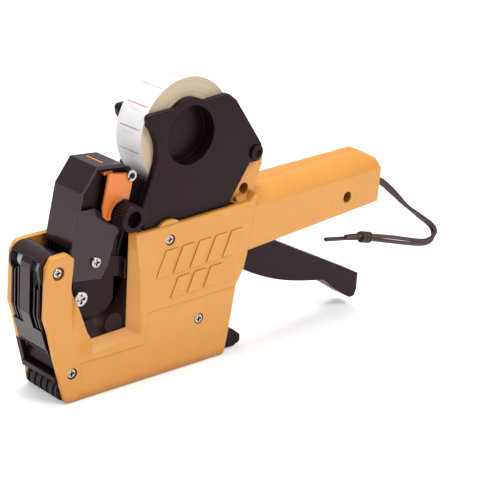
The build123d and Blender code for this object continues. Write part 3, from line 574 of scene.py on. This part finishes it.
def path_frames(path):
    """A direction and two steady cross directions at each point."""
    frames, side = [], Vector((0, 1, 0))
    for i, point in enumerate(path):
        ahead = (path[min(i + 1, len(path) - 1)] - path[max(i - 1, 0)]).normalized()
        side = (side - ahead * side.dot(ahead)).normalized()
        frames.append((point, side.copy(), ahead.cross(side)))
    return frames


def add_cord(bm, path, radius, around=12):
    """A round cord with closed ends and weave coordinates."""
    uv = bm.loops.layers.uv["weave"]
    rings, length, run = [], [0.0], 0.0
    for a, b in zip(path, path[1:]):
        run += (b - a).length
        length.append(run)
    for point, side, up in path_frames(path):
        rings.append([bm.verts.new(point + (side * math.cos(math.tau * k / around)
                                            + up * math.sin(math.tau * k / around)) * radius)
                      for k in range(around)])
    for i in range(len(rings) - 1):
        for k in range(around):
            n = (k + 1) % around
            face = bm.faces.new((rings[i][k], rings[i][n], rings[i + 1][n], rings[i + 1][k]))
            spots = ((i, k), (i, k + 1), (i + 1, k + 1), (i + 1, k))
            for loop, (at, turn) in zip(face.loops, spots):
                loop[uv].uv = (length[at] / WEAVE_LENGTH, turn / around)
    for ring, point, inner in ((rings[0], path[0], path[1]), (rings[-1], path[-1], path[-2])):
        tip = bm.verts.new(point + (point - inner).normalized() * radius * TIP)
        for k in range(around):
            bm.faces.new((ring[k], ring[(k + 1) % around], tip))


def strap_cord():
    """A doubled cord, knotted near its loose ends."""
    rng = random.Random(SEED)
    frames = path_frames(smooth_path(STRAP_PATH))
    knot = int(len(frames) * KNOT_AT)
    bm = bmesh.new()
    bm.loops.layers.uv.new("weave")
    lean, rock, rock_rate = TWIST
    wander, wander_rate = WANDER
    for sign, loose_end in ((1, len(frames)), (-1, len(frames) - SHORT_END)):
        strand, sway = [], rng.uniform(0, math.tau)
        for i, (point, side, up) in enumerate(frames[:loose_end]):
            twist = rock * math.sin(i * rock_rate) + lean
            apart = STRAND_GAP * (1 + wander * math.sin(i * wander_rate + sway))
            if i > knot:
                apart *= 1 + SPLAY * (i - knot) / (len(frames) - knot)
            strand.append(point + (side * math.cos(twist) + up * math.sin(twist)) * apart * sign)
        add_cord(bm, strand, STRAND_R)
    coil, steps = [], KNOT_TURNS * KNOT_STEPS
    for step in range(steps + 1):
        angle = math.tau * step / KNOT_STEPS
        at = knot + (step / steps - 0.5) * KNOT_LENGTH
        point, side, up = frames[int(at)]
        point = point.lerp(frames[int(at) + 1][0], at - int(at))
        coil.append(point + (side * math.cos(angle) * KNOT_WIDTH + up * math.sin(angle)) * KNOT_REACH)
    add_cord(bm, coil, KNOT_CORD_R)
    bmesh.ops.recalc_face_normals(bm, faces=bm.faces)
    obj = new_piece("wrist_cord", bm, "strap", "strap_cord")
    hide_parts("strap")


shaded_parts()
label_roll()
label_strip()
strap_cord()


# ---- floor, light and camera ----
FLOOR_SIZE = 12
FLOOR_DROP = 0.5 * MM
FLOOR_TONES = ((0.90, 0.90, 0.90), (0.82, 0.82, 0.82))
FLOOR_GLOW = (0.30, 0.95)      # near the object and far from it
FLOOR_FADE = (0.45, 1.6)       # where the floor starts and ends its fade to white, in metres
AMBIENT = 0.42
# name, position, size, power
LIGHTS = (("key", (0.30, -0.95, 1.15), 0.6, 10), ("top", (0.15, 0.35, 1.3), 0.9, 13),
          ("front", (-1.25, 0.05, 0.55), 0.35, 4.2))
LIGHT_TARGET = Vector((0.02, 0, 0.07))


def studio():
    """A pale floor that fades to white, in even light."""
    bpy.ops.mesh.primitive_plane_add(size=FLOOR_SIZE, location=(0, 0, -FLOOR_DROP))
    floor = bpy.context.object
    floor.name = "floor"
    s = Shader("floor_paper")
    tone = s.ramp(s.noise(scale=3, detail=2), low=0.3, high=0.7, to_low=0.0, to_high=0.04)
    s.set(Base_Color=s.mix(tone, *FLOOR_TONES), Roughness=0.8)
    seen = s.node("ShaderNodeLightPath").outputs["Is Camera Ray"]
    far = s.node("ShaderNodeVectorMath", operation="LENGTH")
    s.feed(far.inputs[0], s.place)
    glow = s.ramp(far.outputs["Value"], *FLOOR_FADE, *FLOOR_GLOW)
    s.set(Emission_Color=(1.0, 1.0, 1.0), Emission_Strength=s.math("MULTIPLY", seen, glow))
    floor.data.materials.append(s.material)
    world = bpy.data.worlds.new("studio")
    bpy.context.scene.world = world
    world.use_nodes = True
    tree = world.node_tree
    seen = tree.nodes.new("ShaderNodeLightPath").outputs["Is Camera Ray"]
    strength = tree.nodes.new("ShaderNodeMapRange")
    tree.links.new(seen, strength.inputs["Value"])
    strength.inputs["To Min"].default_value = AMBIENT
    strength.inputs["To Max"].default_value = 1.0
    backdrop = tree.nodes["Background"]
    backdrop.inputs[0].default_value = (1, 1, 1, 1)
    tree.links.new(strength.outputs[0], backdrop.inputs[1])


def area_light(name, position, size, power):
    """A square white light turned towards the object."""
    data = bpy.data.lights.new(name, "AREA")
    data.size = size
    data.energy = power
    light = bpy.data.objects.new(name, data)
    light.location = position
    light.rotation_euler = (LIGHT_TARGET - Vector(position)).to_track_quat("-Z", "Y").to_euler()
    bpy.context.scene.collection.objects.link(light)


CAMERA_TURN = 43.93            # angles in degrees
CAMERA_RAISE = 20.95
CAMERA_ROLL = 4.02
CAMERA_DISTANCE = 0.8614
CAMERA_TARGET = Vector((0.08185, 0, 0.04791))
CAMERA_LENS = 114.4
SENSOR_WIDTH = 36


def camera():
    """The view from the front, above and to the near side, with a slight roll."""
    turn, rise, roll = (math.radians(a) for a in (CAMERA_TURN, CAMERA_RAISE, CAMERA_ROLL))
    back = Vector((-math.sin(turn) * math.cos(rise), -math.cos(turn) * math.cos(rise), math.sin(rise)))
    right = Vector((math.cos(turn), -math.sin(turn), 0))
    up = back.cross(right)
    rolled_right = right * math.cos(roll) + up * math.sin(roll)
    rolled_up = up * math.cos(roll) - right * math.sin(roll)
    data = bpy.data.cameras.new("camera")
    data.lens = CAMERA_LENS
    data.sensor_width = SENSOR_WIDTH
    cam = bpy.data.objects.new("camera", data)
    matrix = Matrix((rolled_right, rolled_up, back)).transposed().to_4x4()
    matrix.translation = CAMERA_TARGET + back * CAMERA_DISTANCE
    cam.matrix_world = matrix
    bpy.context.scene.collection.objects.link(cam)
    bpy.context.scene.camera = cam


studio()
for light in LIGHTS:
    area_light(*light)
camera()
bpy.context.scene.view_settings.view_transform = "Standard"
